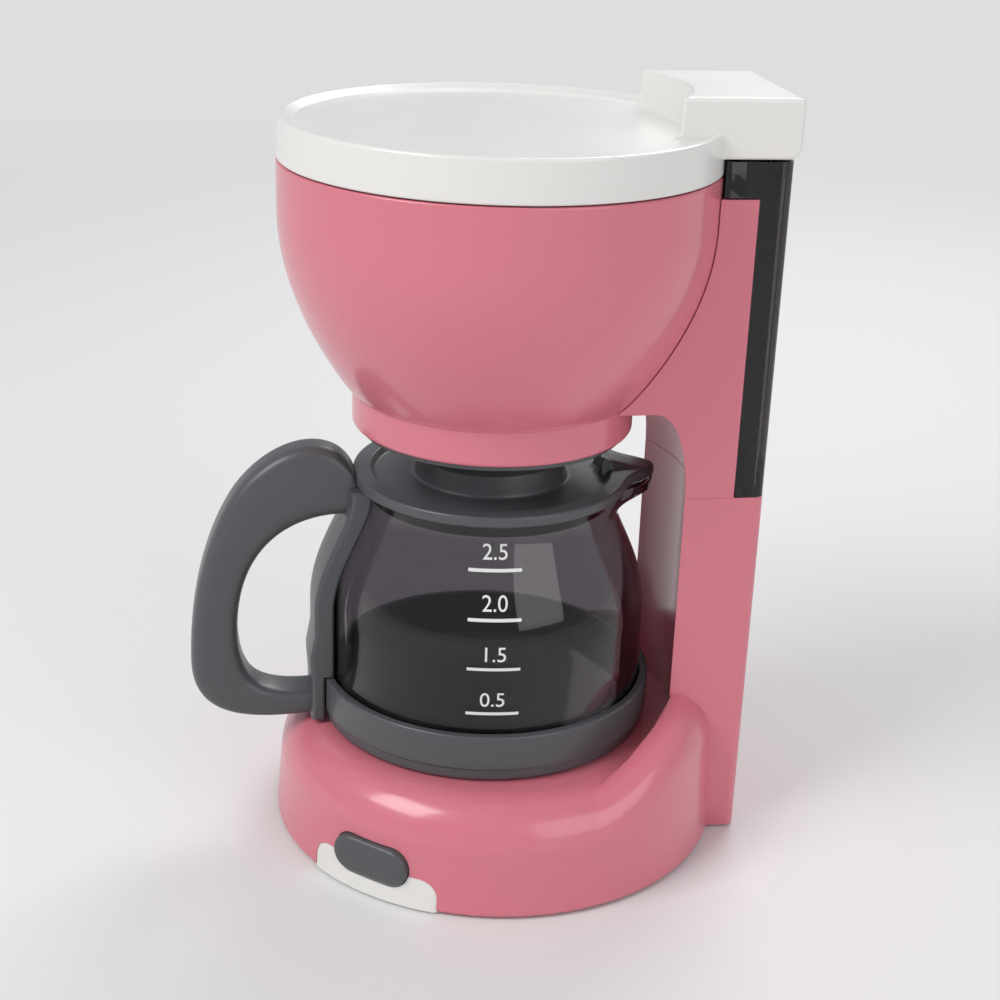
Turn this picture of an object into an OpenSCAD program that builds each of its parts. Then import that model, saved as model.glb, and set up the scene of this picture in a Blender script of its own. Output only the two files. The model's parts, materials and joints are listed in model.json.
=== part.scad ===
// Toy drip coffee maker: a round base with a push button, a column with a water tank,
// a brew bowl under a hinged lid, and a jug that slides out over the base.
// Z is up, the jug's axis is the Z axis, the table is Z = 0 and the jug's handle points to -Y.

/* [Base] */
// Radius of the round base at the table
base_r = 54.5; // [53.5:0.25:55.5]
// Height of the seat that the jug stands on
seat_z = 27; // [26.5:0.25:28]
// Distance of the base's centre behind the jug's axis
base_back = 3.5; // [3:0.25:4]
// Width of the rounded shoulder of the base
shoulder_w = 10.5; // [10:0.25:11]
// Height of the shoulder where it rises to the column
hump_z = 38; // [36:0.5:40]
// Wall thickness of the base, the column and the bowl
wall = 2.2; // [2:0.1:2.4]

/* [Button] */
// Angle of the button from the handle's side
button_turn = 50; // [48:0.5:52]
// Length of the button
button_l = 20; // [18:0.5:21]
// Height of the button
button_h = 9.4; // [8:0.2:10]
// How far the button stands out of the base
button_out = 1.8; // [1.4:0.1:2.2]
// How far the button travels
button_travel = 1.5; // [1:0.1:1.6]
// Height of the pale panel below the button
panel_h = 8.2; // [7.4:0.2:9]
// Width of the pale panel below the button
panel_w = 34; // [32:0.5:36]

/* [Column] */
// Width of the column
column_w = 41; // [40.5:0.25:41.5]
// Depth of the column behind the bowl
tank_depth = 11.8; // [11.3:0.1:12.3]
// Radius of the hollow that the jug stands in
arch_r = 46.7; // [46:0.1:47]
// Height of the joint between the two halves of the column
seam_z = 88; // [87:0.5:89]
// Height of the top of the column's sides
cheek_top = 157; // [156.5:0.25:157.5]
// Depth of the tank that shows behind the column's sides
tank_bare = 7.5; // [7:0.1:8]
// Height of the hollow's ceiling
ceiling_z = 108.4; // [107.5:0.25:109]

/* [Brew bowl and lid] */
// Radius of the bowl at its mouth
bowl_r = 49.2; // [49:0.05:49.4]
// Radius of the bowl's neck
neck_r = 32.5; // [32:0.1:33]
// How far the bowl's neck hangs below the hollow's ceiling
neck_drop = 7.4; // [6.5:0.1:8.5]
// Height of the bowl's rim
bowl_top = 161.5; // [161:0.25:162]
// Thickness of the lid's round part
lid_h = 9.2; // [8.5:0.1:10]
// Height of the lid's square back above the round part
hood_h = 7.5; // [6.5:0.25:8.5]
// Width of the rim round the lid's dish
lid_rim_w = 4.1; // [3.8:0.1:4.8]
// Depth of the lid's dish
lid_dip = 1.2; // [0.8:0.1:1.4]

/* [Jug] */
// Outer radius of the jug's foot band
band_r = 40; // [39.5:0.1:40.3]
// Outer radius of the jug's wall
jug_r = 37.8; // [37.5:0.1:38]
// Radius of the jug's neck
jug_neck_r = 29.3; // [28.8:0.1:29.8]
// Height of the jug above its seat
jug_h = 59.8; // [59:0.1:60.5]
// Thickness of the jug's wall
jug_wall = 1.6; // [1.4:0.1:1.8]
// Width of the jug's handle
handle_w = 11; // [10:0.5:12]
// How far the handle reaches from the jug's axis
handle_reach = 71; // [70:0.5:72]

/* [Fits] */
// Gap between a moving part and its neighbour
run_gap = 0.3; // [0.25:0.05:0.4]
// Radial clearance of the hinge pin in its holes
pin_fit = 0.05; // [0.03:0.01:0.08]
// Radius of the hinge pin
pin_r = 1; // [0.9:0.05:1.1]

/* [Hidden] */
$fn = 72;

pink = [0.86, 0.47, 0.53];
cream = [0.93, 0.91, 0.86];
white = [0.94, 0.93, 0.9];
grey = [0.27, 0.29, 0.31];
smoke = [0.25, 0.25, 0.28, 0.45];
steel = [0.75, 0.75, 0.77];
board = [0.1, 0.35, 0.2];
dark = [0.1, 0.1, 0.11];

// base
foot_z = 0.6;
base_draft = 1.2;
cover_t = 2.4;
cover_gap = 0.2;
inner_r = base_r - base_draft - wall;
cover_r = base_r - wall - 0.35 - cover_gap;
shoulder_z = 15;
shoulder_top_r = base_r - base_draft - shoulder_w;
hump_low = 26;
hump_round = 8;
hump_slope = 25.6;
hump_start = 20;
boss_r = 3.2;
boss_z = 4.2;

// column
half_w = column_w / 2;
column_back = bowl_r + tank_depth;
cheek_back = column_back - tank_bare;
inner_w = half_w - 2;
corner_r = 2.5;
column_start = 30;
deck_t = 2;
arch_top_r = 40;
ceiling_t = 2.2;
neck_z = ceiling_z - neck_drop;
bridge_back = bowl_r;
bridge_top = cheek_top - 1;
saddle_gap = 0.15;

// tank
tank_gap = 0.3;
tank_half = half_w - 0.3;
tank_front = bridge_back + tank_gap;
tank_wall = 1.6;
tank_shelf = cheek_top + 0.3;
lid_gap = 0.3;
lid_z = bowl_top + lid_gap;
hood_z = lid_z + 3.7;
tank_top = hood_z - lid_gap - 0.1;
lid_top = lid_z + lid_h;
hood_top = lid_top + hood_h;
hood_back = column_back + 1;
hood_r = 40.3;

// lid hinge
knuckle_r = 2.7;
hinge_y = hood_back - knuckle_r - 0.1;
hinge_z = hood_z + knuckle_r;
lug_in = 12;
lug_out = 16;
lug_r = knuckle_r - lid_gap;
pin_half = lug_out + 2;

// jug
jug_z = seat_z + run_gap;
lip_h = 3;
groove_h = 0.3;
band_h = 11.7;
floor_t = 2;
disc_z = jug_z + floor_t;
glass_z = disc_z + floor_t;
band_top = jug_z + band_h;
jug_top = jug_z + jug_h - 0.3;
bend_z = jug_z + 28.7;
lid_rim_r = jug_neck_r + 3;

// button
button_z = 9.4;
slot_gap = 0.25;
panel_round = 4.5;
flange_more = 1.2;
stem_r = 2;
flange_in = inner_r - 3.8;
flange_out = inner_r - 1.9;
stem_in = flange_in - 2.5;
switch_out = stem_in - button_travel - 0.2;
switch_t = 3.2;
switch_board_t = 1.6;

// batteries
cell_gap = 2.8;
cell_r = 7.1;
cell_l = 50.5;
cell_pitch = 15.2;
cell_z = 8.6;
bay_x = -20;
bay_y = 5;
bay_w = cell_pitch + 2 * cell_r + 1.6;
bay_l = cell_l + cell_gap + 0.7;
tray_t = 1.5;
tray_top = cell_z + cell_r + 0.5;
door_w = bay_w + 5;
door_l = bay_l + 5;
door_z = 0.2;
door_t = 1;
door_gap = 0.2;
tongue_x = -17;
tongue_y = bay_y - door_l / 2 - 4.8;
tongue_r = 3.6;

// fasteners: one self-tapping screw for the case and the tank
screw_r = 1.05;
screw_head_r = 2.6;
screw_head_h = 1.6;
screw_l = 9;
pilot_r = screw_r + 0.05;
screw_in = 6.6;
function on_base(turn) = [(inner_r - screw_in) * sin(turn), base_back - (inner_r - screw_in) * cos(turn)];
tray_side_x = bay_w / 2 + tray_t + boss_r + 1.3 - bay_x;
beside_tray = 180 - asin(tray_side_x / (inner_r - screw_in));
case_screw_at = [on_base(2), on_base(136), on_base(-beside_tray), on_base(-39)];
tank_screw_x = 12;
tank_screw_y = column_back - 5.5;

speaker_at = [24, base_back + 12];
speaker_r = 14;
magnet_r = 8;
magnet_top = 8;
basket_h = 1.6;
basket_top = 4.2;
board_at = [inner_r - 36.1, base_back - 13.5];
board_l = 24;
board_w = 18;
board_t = 1.6;
board_z = 5.4;
switch_board_w = 16;
switch_board_h = 12;
contact_w = 27;
contact_h = 10;

function arc(c, rx, rz, a0, a1, n = 12) =
    [for (i = [0 : n]) let (a = a0 + (a1 - a0) * i / n) [c[0] + rx * cos(a), c[1] + rz * sin(a)]];

function bezier(a, b, c, d, n = 9) =
    [for (i = [0 : n]) let (t = i / n, s = 1 - t)
        s * s * s * a + 3 * s * s * t * b + 3 * s * t * t * c + t * t * t * d];

// outer radius of the bowl at height z: a straight neck that swells like a softened quarter ellipse
bowl_start = ceiling_z + 0.6;
bowl_full = bowl_top - 11.1;
function swell(z) = sin(90 * min(1, max(0, (z - bowl_start) / (bowl_full - bowl_start))));
function bowl_at(z) = neck_r + (bowl_r - neck_r) * pow(max(swell(z), 0.0001), 0.85);
bowl_steps = [for (i = [0 : 16]) bowl_start + (bowl_full - bowl_start) * pow(i / 16, 1.3)];

// outer radius of the jug's wall at height z: a straight body that rounds in to the neck
function draw_in(z) = cos(90 * min(1, max(0, (z - bend_z) / (jug_top - 3 - bend_z))));
function jug_at(z) = jug_neck_r + (jug_r - jug_neck_r) * pow(max(draw_in(z), 0.0001), 1.45);
jug_steps = [for (i = [0 : 14]) bend_z + (jug_top - 3 - bend_z) * i / 14];

module slab(x0, x1, y0, y1, z0, z1) {
    translate([x0, y0, z0]) cube([x1 - x0, y1 - y0, z1 - z0]);
}

// a solid of revolution about the jug's axis from [r, z] points
module turned(points) {
    rotate_extrude($fn = 120) polygon(points);
}

// the same about the base's centre
module base_turned(points) {
    translate([0, base_back, 0]) turned(points);
}

// rounded rectangle centred on the origin
module round_rect(w, h, r) {
    square([w - 2 * r, h], center = true);
    square([w, h - 2 * r], center = true);
    for (x = [-1, 1], y = [-1, 1]) {
        translate([x * (w / 2 - r), y * (h / 2 - r)]) circle(r = r);
    }
}

// plan of the column with rounded back corners
module column_plan(half, y0, y1, r) {
    translate([-half, y0]) square([2 * half, y1 - r - y0]);
    translate([r - half, y0]) square([2 * (half - r), y1 - y0]);
    for (x = [-1, 1]) {
        translate([x * (half - r), y1 - r]) circle(r = r);
    }
}

// extrudes a face drawn in X and Z, looking from the button's side, between two distances
module facing(y_in, y_out) {
    translate([0, base_back, 0]) rotate([0, 0, button_turn]) translate([0, -y_in, 0])
        rotate([90, 0, 0]) linear_extrude(y_out - y_in) children();
}

// side of the base, leaning in a little from the table up to the shoulder
function base_outline(cut) = concat(
    [[0, foot_z - cut], [base_r - cut, foot_z - cut], [base_r - base_draft - cut, shoulder_z]],
    arc([shoulder_top_r, shoulder_z], shoulder_w - cut, seat_z - shoulder_z - cut, 0, 90),
    [[0, seat_z - cut]]);

// the hollow that the jug stands in and the bowl above it
function arch_points(e) = concat([[0, 0], [arch_r + e, 0]],
    arc([arch_top_r + e, seam_z], arch_r - arch_top_r, ceiling_z - seam_z, 0, 90, 8));
module arch_space(e) {
    turned(concat(arch_points(e), [[0, ceiling_z]]));
}
module bowl_space(e, z0, z1) {
    turned(concat([[0, z0], [neck_r + e, z0]], [for (z = bowl_steps) [bowl_at(z) + e, z]],
        [[bowl_r + e, z1], [0, z1]]));
}

// slot in the back of the base for the column
module column_slot(gap) {
    difference() {
        slab(-half_w, half_w, column_start, base_back + base_r + 5, -1, hump_z + 5);
        translate([0, 0, -2]) cylinder(r = arch_r - gap, h = hump_z + 10, $fn = 120);
    }
}

module cover_plan(gap) {
    translate([0, base_back]) circle(r = cover_r + gap, $fn = 120);
    translate([-(inner_w - cover_gap + gap), 0])
        square([2 * (inner_w - cover_gap + gap), column_back - 2 - cover_gap + gap]);
}

module capsule(w, h) {
    square([w - h, h], center = true);
    for (x = [-1, 1]) {
        translate([x * (w - h) / 2, 0]) circle(r = h / 2);
    }
}

module panel_face(w, h, r) {
    translate([-w / 2, 0]) square([w, h - r]);
    translate([r - w / 2, 0]) square([w - 2 * r, h]);
    for (x = [-1, 1]) {
        translate([x * (w / 2 - r), h - r]) circle(r = r);
    }
}

// raised back of the shoulder, cut off by a slope and by the jug's hollow
module hump(cut) {
    side_r = base_r - base_draft;
    hump_points = concat([[0, shoulder_z], [side_r - cut, shoulder_z]],
        arc([side_r - hump_round, hump_low], hump_round - cut, hump_z - hump_low - cut, 0, 90),
        [[0, hump_z - cut]]);
    difference() {
        intersection() {
            base_turned(hump_points);
            translate([0, hump_start, seat_z - cut / cos(hump_slope)]) rotate([hump_slope, 0, 0])
                translate([-100, -60, -60]) cube([200, 120, 60]);
        }
        translate([0, 0, shoulder_z + 2]) cylinder(r = arch_r + cut, h = 60, $fn = 120);
    }
}

module base_shell() {
    color(pink) difference() {
        union() {
            base_turned(base_outline(0));
            hump(0);
        }
        difference() {
            union() {
                base_turned(base_outline(wall));
                hump(wall);
            }
            for (at = case_screw_at) {
                translate([at[0], at[1], boss_z]) cylinder(r = boss_r, h = hump_z);
            }
        }
        translate([0, 0, -1]) linear_extrude(cover_t + 1 + cover_gap)
            translate([0, base_back]) circle(r = cover_r + cover_gap, $fn = 120);
        column_slot(0.1);
        for (at = case_screw_at) {
            translate([at[0], at[1], 0]) cylinder(r = pilot_r, h = boss_z + screw_l);
        }
        facing(inner_r - 8, base_r + 5) panel_face(panel_w, panel_h, panel_round);
        facing(inner_r - 8, base_r + 5) translate([0, button_z])
            capsule(button_l + 2 * slot_gap, button_h + 2 * slot_gap);
    }
}

module base_cover() {
    color(pink) difference() {
        union() {
            linear_extrude(cover_t) cover_plan(0);
            for (at = case_screw_at) {
                translate([at[0], at[1], 0]) cylinder(r = boss_r + 1, h = boss_z);
            }
            translate([tongue_x, tongue_y, 0]) cylinder(r = tongue_r + 2, h = 10);
            translate([speaker_at[0], speaker_at[1], 0]) cylinder(r = speaker_r + 1.4, h = 6);
            for (x = [-1, 1], y = [-1, 1]) {
                translate([board_at[0] + x * (board_l / 2 - 3), board_at[1] + y * (board_w / 2 - 3), 0])
                    cylinder(r = 1.5, h = board_z);
            }
        }
        for (at = case_screw_at) {
            translate([at[0], at[1], -1]) cylinder(r = screw_head_r + 0.4, h = 3.2);
            translate([at[0], at[1], 0]) cylinder(r = screw_r + 0.25, h = boss_z + 1);
        }
        // battery bay, its door's recess and the seat of the door's screw
        translate([bay_x, bay_y, -1]) linear_extrude(8) square([bay_w, bay_l], center = true);
        translate([0, 0, -1]) linear_extrude(door_z + door_t + 0.1 + 1) door_plan(door_gap);
        translate([tongue_x, tongue_y, -1]) cylinder(r = tongue_r, h = 5);
        translate([tongue_x, tongue_y, 0]) cylinder(r = pilot_r, h = 9);
        // speaker seat and grille
        translate([speaker_at[0], speaker_at[1], cover_t]) cylinder(r = speaker_r + 0.2, h = 5);
        for (ring = [0 : 2], i = [0 : max(0, ring * 6 - 1)]) {
            translate([speaker_at[0], speaker_at[1], -1]) rotate([0, 0, i * 60 / max(1, ring)])
                translate([ring * 4, 0, 0]) cylinder(r = 1, h = 5, $fn = 24);
        }
    }
}

module door_plan(gap) {
    translate([bay_x, bay_y]) round_rect(door_w + 2 * gap, door_l + 2 * gap, 2);
    translate([tongue_x - 3 - gap, tongue_y]) square([6 + 2 * gap, 10]);
    translate([tongue_x, tongue_y]) circle(r = 3 + gap);
}

module battery_door() {
    color(pink) difference() {
        union() {
            translate([0, 0, door_z]) linear_extrude(door_t) door_plan(0);
            translate([tongue_x, tongue_y, door_z]) cylinder(r = tongue_r - door_gap, h = 3.2);
        }
        translate([tongue_x, tongue_y, -1]) cylinder(r = 2.4, h = 3);
        translate([tongue_x, tongue_y, -1]) cylinder(r = screw_r + 0.25, h = 10);
        for (i = [-2 : 2]) {
            translate([bay_x, bay_y + door_l / 2 - 6 + 1.6 * i, 0]) cube([16, 0.6, 0.8], center = true);
        }
    }
}

module door_screw() {
    color(steel) translate([tongue_x, tongue_y, 0]) {
        difference() {
            translate([0, 0, 0.6]) cylinder(r = 2.2, h = 1.4);
            cube([3, 0.6, 2], center = true);
            cube([0.6, 3, 2], center = true);
        }
        translate([0, 0, 2]) cylinder(r = screw_r, h = 6.5);
    }
}

module screw(at, z) {
    translate([at[0], at[1], z]) {
        difference() {
            translate([0, 0, -screw_head_h]) cylinder(r = screw_head_r, h = screw_head_h);
            translate([0, 0, -screw_head_h]) cube([3, 0.6, 1.6], center = true);
            translate([0, 0, -screw_head_h]) cube([0.6, 3, 1.6], center = true);
        }
        cylinder(r = screw_r, h = screw_l);
    }
}

module case_screws() {
    color(steel) {
        for (at = case_screw_at) {
            screw(at, 2.2);
        }
        for (x = [-tank_screw_x, tank_screw_x]) {
            screw([x, tank_screw_y], seam_z - deck_t);
        }
    }
}

module button_slot(gap) {
    translate([0, button_z]) capsule(button_l + 2 * gap, button_h + 2 * gap);
}

module front_panel() {
    color(cream) difference() {
        intersection() {
            difference() {
                base_turned([[0, foot_z], [base_r + 0.1, foot_z], [base_r - base_draft + 0.1, shoulder_z],
                    [0, shoulder_z]]);
                translate([0, base_back, -1])
                    cylinder(r = cover_r + cover_gap, h = shoulder_z + 2, $fn = 120);
            }
            facing(inner_r - 8, base_r + 5) panel_face(panel_w, panel_h, panel_round);
        }
        facing(inner_r - 9, base_r + 6) button_slot(slot_gap);
    }
}

module power_button() {
    color(grey) {
        facing(flange_in, base_r + button_out - base_draft - 0.7) button_slot(0);
        facing(flange_in, base_r + button_out - base_draft) button_slot(-0.7);
        facing(flange_in, flange_out) button_slot(flange_more);
        facing(stem_in, flange_in + 1) translate([0, button_z]) circle(r = stem_r);
    }
}

module tact_switch() {
    color(dark) facing(switch_out - switch_t, switch_out) translate([0, button_z])
        square([6, 6], center = true);
}

module switch_board() {
    color(board) facing(switch_out - switch_t - switch_board_t, switch_out - switch_t)
        translate([-switch_board_w / 2, cover_t]) square([switch_board_w, switch_board_h]);
}

module circuit_board() {
    color(board) translate([board_at[0], board_at[1], board_z]) {
        translate([-board_l / 2, -board_w / 2, 0]) cube([board_l, board_w, board_t]);
        translate([-3, 0, board_t]) cylinder(r = 4, h = 1.2);
        translate([-10, 3, board_t]) cube([3, 4, 2]);
    }
}

module led() {
    color(white) translate([board_at[0] + 7, board_at[1] + 3, board_z + board_t]) {
        cylinder(r = 2.9, h = 1);
        cylinder(r = 2.5, h = 5);
        translate([0, 0, 5]) sphere(r = 2.5);
    }
}

module speaker() {
    color(dark) translate([speaker_at[0], speaker_at[1], cover_t])
        turned([[0, 0.4], [magnet_r + 1, 0], [speaker_r, 0], [speaker_r, basket_h],
            [speaker_r - 1.5, basket_h], [magnet_r + 1, basket_top], [magnet_r, basket_top],
            [magnet_r, magnet_top], [0, magnet_top]]);
}

module battery_tray() {
    color(dark) difference() {
        translate([bay_x, bay_y, cover_t]) linear_extrude(tray_top + tray_t - cover_t)
            square([bay_w + 2 * tray_t, bay_l + 2 * tray_t], center = true);
        translate([bay_x, bay_y, 0]) linear_extrude(tray_top) square([bay_w, bay_l], center = true);
    }
}

// a cell beside the bay's middle line, with its flat end on the spring of that side
module cell(side) {
    translate([bay_x + side * cell_pitch / 2, bay_y + side * (bay_l / 2 - cell_gap), cell_z])
        rotate([side * 90, 0, 0])
        turned([[0, 0], [cell_r - 0.5, 0], [cell_r, 0.5], [cell_r, cell_l - 1.8],
            [cell_r - 0.8, cell_l - 1.2], [2.7, cell_l - 1.2], [2.7, cell_l], [0, cell_l]]);
}

module cell_left() {
    color([0.2, 0.35, 0.6]) cell(-1);
}

module cell_right() {
    color([0.2, 0.35, 0.6]) cell(1);
}

module battery_contacts() {
    color(steel) for (side = [-1, 1]) {
        end = bay_y + side * bay_l / 2;
        translate([bay_x, end - side * 0.2, cell_z]) cube([contact_w, 0.4, contact_h], center = true);
        translate([bay_x + side * cell_pitch / 2, end - side * 0.4, cell_z])
            rotate([side * 90, 0, 0]) cylinder(r1 = 4.5, r2 = 3, h = 2.2, $fn = 32);
    }
}

module column_lower() {
    color(pink) difference() {
        translate([0, 0, foot_z]) linear_extrude(seam_z - foot_z)
            column_plan(half_w, column_start, column_back, corner_r);
        arch_space(0);
        // hollow inside, open below
        difference() {
            translate([0, 0, -1]) linear_extrude(seam_z - deck_t + 1)
                column_plan(inner_w, column_start - 10, column_back - deck_t, 0.5);
            arch_space(2);
        }
        translate([0, 0, -1]) linear_extrude(cover_t + 1 + cover_gap)
            translate([0, base_back]) circle(r = cover_r + cover_gap, $fn = 120);
        for (x = [-tank_screw_x, tank_screw_x]) {
            translate([x, tank_screw_y, seam_z - 5]) cylinder(r = screw_r + 0.25, h = 10);
        }
    }
}

module column_upper() {
    color(pink) difference() {
        slab(-half_w, half_w, column_start - 10, cheek_back, seam_z, cheek_top);
        arch_space(0);
        bowl_space(saddle_gap, ceiling_z - 10, cheek_top + 10);
        // space behind the arch wall
        difference() {
            slab(-inner_w, inner_w, column_start - 10, cheek_back + 1, seam_z + deck_t, ceiling_z);
            arch_space(wall);
        }
        // space above the ceiling, for the bowl's bridge
        slab(-inner_w, inner_w, 10, cheek_back + 1, ceiling_z + ceiling_t, cheek_top + 1);
        // shaft for the tank
        slab(-inner_w, inner_w, bridge_back, cheek_back + 1, seam_z - 1, cheek_top + 1);
    }
}

module brew_bowl() {
    bridge_z = ceiling_z + ceiling_t;
    color(pink) difference() {
        union() {
            turned(concat([[0, neck_z], [neck_r - 1, neck_z], [neck_r - 0.3, neck_z + 1]],
                [for (z = bowl_steps) [bowl_at(z), z]], [[bowl_r, bowl_top], [0, bowl_top]]));
            difference() {
                slab(-inner_w, inner_w, 10, bridge_back, bridge_z, bridge_top);
                slab(2 - inner_w, inner_w - 2, 20, bridge_back + 1, bridge_z + 2, bridge_top - 2);
            }
        }
        turned(concat([[0, neck_z - 1], [neck_r - 3, neck_z - 1]],
            [for (z = bowl_steps) [bowl_at(z) - wall, z]],
            [[bowl_r - wall, bowl_top + 1], [0, bowl_top + 1]]));
    }
}

module outlet_ring() {
    seat_r = neck_r - 3;
    color(grey) turned([[2.5, neck_z - 4], [4, neck_z - 4], [5, neck_z - 1.4], [neck_r - 1.7, neck_z - 1.4],
        [neck_r - 1.7, neck_z], [seat_r - 0.2, neck_z], [seat_r - 0.2, neck_z + 3],
        [seat_r - 2, neck_z + 3], [seat_r - 2, neck_z + 1], [2.5, neck_z + 0.6]]);
}

module tank_lug(x0) {
    translate([x0, hinge_y, hinge_z]) rotate([0, 90, 0]) cylinder(r = lug_r, h = lug_out - lug_in);
    slab(x0, x0 + lug_out - lug_in, hinge_y - lug_r, column_back, tank_top - 8, hinge_z);
}

module water_tank() {
    color(smoke) difference() {
        union() {
            slab(-(inner_w - tank_gap), inner_w - tank_gap, tank_front, cheek_back + 1, seam_z, tank_top);
            translate([0, 0, seam_z]) linear_extrude(tank_top - seam_z)
                column_plan(tank_half, cheek_back + tank_gap, column_back, corner_r);
            difference() {
                slab(-tank_half, tank_half, 35, cheek_back + 1, tank_shelf, tank_top);
                cylinder(r = bowl_r + 0.7, h = 200, $fn = 120);
            }
            tank_lug(-lug_out);
            tank_lug(lug_in);
        }
        difference() {
            translate([0, 0, seam_z + 2]) linear_extrude(100)
                column_plan(inner_w - tank_gap - tank_wall, tank_front + tank_wall,
                    column_back - tank_wall, 1);
            for (x = [-tank_screw_x, tank_screw_x]) {
                translate([x, tank_screw_y, seam_z]) cylinder(r = 2.4, h = screw_l + 1);
            }
            tank_lug(-lug_out);
            tank_lug(lug_in);
        }
        for (x = [-tank_screw_x, tank_screw_x]) {
            translate([x, tank_screw_y, seam_z - 1]) cylinder(r = pilot_r, h = screw_l + 0.5);
        }
        translate([-30, hinge_y, hinge_z]) rotate([0, 90, 0]) cylinder(r = pin_r + pin_fit, h = 60);
    }
}

module hinge_pin() {
    color(steel) translate([-pin_half, hinge_y, hinge_z]) rotate([0, 90, 0])
        cylinder(r = pin_r, h = 2 * pin_half);
}

// side view of the lid's square back with a rounded hinge edge
module hood_side(cut) {
    translate([30, hood_z]) square([hinge_y - 30, hood_top - cut - hood_z]);
    translate([30, hinge_z]) square([hood_back - cut - 30, hood_top - cut - hinge_z]);
    translate([hinge_y, hinge_z]) circle(r = knuckle_r);
}

module across(half) {
    translate([-half, 0, 0]) rotate([90, 0, 90]) linear_extrude(2 * half) children();
}

module top_lid() {
    dish_r = bowl_r - lid_rim_w;
    dish_z = lid_top - lid_dip;
    skirt_r = bowl_r - wall - 0.6;
    foot_r = 1.5;
    front_cut = concat([[0, dish_z]], arc([hood_r - foot_r, dish_z + foot_r], foot_r, foot_r, -90, 0, 5),
        [[hood_r + 0.4, hood_top + 5], [0, hood_top + 5]]);
    color(white) difference() {
        union() {
            // round part with a skirt that drops into the bowl
            turned([[0, dish_z - 2], [0, dish_z], [dish_r, dish_z], [dish_r + 2 * lid_dip, lid_top],
                [bowl_r - 1.4, lid_top],
                [bowl_r - 0.5, lid_top - 0.8], [bowl_r, lid_z], [skirt_r, lid_z],
                [skirt_r - 0.2, lid_z - 3], [skirt_r - 2, lid_z - 3], [skirt_r - 2, dish_z - 2]]);
            difference() {
                intersection() {
                    across(half_w) hood_side(0);
                    linear_extrude(300) column_plan(half_w, 20, hood_back, 2);
                }
                cylinder(r = skirt_r, h = lid_top - 1, $fn = 120);
            }
        }
        turned(front_cut);
        // hollow of the square back, open below, with a bar left round the hinge
        difference() {
            intersection() {
                across(inner_w) translate([20, hood_z - 1])
                    square([hood_back - 2 - 20, hood_top - 2 - hood_z + 1]);
                difference() {
                    slab(-60, 60, 20, 80, hood_z - 1, hood_top);
                    translate([0, 0, hood_z - 2]) cylinder(r = hood_r + 2.5, h = 40, $fn = 120);
                    turned([[0, 0], [bowl_r, 0], [bowl_r, lid_top - 2], [bowl_r - 4, lid_top], [0, lid_top]]);
                }
            }
            across(inner_w) translate([hinge_y, hinge_z]) circle(r = knuckle_r);
            across(inner_w) translate([hinge_y, hood_z]) square([10, knuckle_r]);
        }
        for (x0 = [-lug_out - run_gap, lug_in - run_gap]) {
            slab(x0, x0 + lug_out - lug_in + 2 * run_gap, hinge_y - knuckle_r - 0.1, hood_back + 1,
                hood_z - 1, hinge_z + knuckle_r + 0.1);
        }
        translate([-pin_half - run_gap, hinge_y, hinge_z]) rotate([0, 90, 0])
            cylinder(r = pin_r + pin_fit, h = 2 * (pin_half + run_gap));
    }
}

module spout(cut, z_top) {
    hull() {
        translate([0, jug_neck_r - 5, jug_top - 9]) cylinder(r = 9 - cut, h = 0.1, $fn = 32);
        translate([0, jug_neck_r - 5, z_top]) cylinder(r = 11 - cut, h = 0.1, $fn = 32);
        translate([0, jug_neck_r + 8.7 - cut, z_top]) cylinder(r = 1.9 - cut / 2, h = 0.1, $fn = 32);
        translate([0, jug_neck_r + 7 - cut, jug_top - 4.5]) cylinder(r = 1.9 - cut / 2, h = 0.1, $fn = 32);
    }
}

module jug_inner() {
    turned(concat([[0, glass_z + jug_wall], [jug_r - jug_wall, glass_z + jug_wall]],
        [for (z = jug_steps) [jug_at(z) - jug_wall, z]],
        [[jug_neck_r - jug_wall, jug_top + 1], [0, jug_top + 1]]));
}

module jug_body() {
    color(smoke) difference() {
        union() {
            turned(concat([[0, glass_z], [jug_r, glass_z]], [for (z = jug_steps) [jug_at(z), z]],
                [[jug_neck_r, jug_top], [0, jug_top]]));
            spout(0, jug_top - 0.1);
        }
        jug_inner();
        spout(1.5, jug_top + 1);
    }
}

module jug_band() {
    socket_r = jug_r + 0.25;
    color(grey) difference() {
        turned([[0, jug_z], [band_r - 1.4, jug_z], [band_r - 0.7, jug_z + 0.7], [band_r - 0.7, jug_z + lip_h],
            [band_r - 1.1, jug_z + lip_h], [band_r - 1.1, jug_z + lip_h + groove_h],
            [band_r, jug_z + lip_h + groove_h], [band_r, band_top - 0.4], [band_r - 0.4, band_top],
            [socket_r, band_top], [socket_r, disc_z], [0, disc_z]]);
        slab(-3, 3, -60, -30, jug_z + 4.2, jug_z + 8.2);
    }
}

module jug_floor() {
    color(dark) translate([0, 0, disc_z]) cylinder(r = jug_r - 0.2, h = floor_t, $fn = 120);
}

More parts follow.
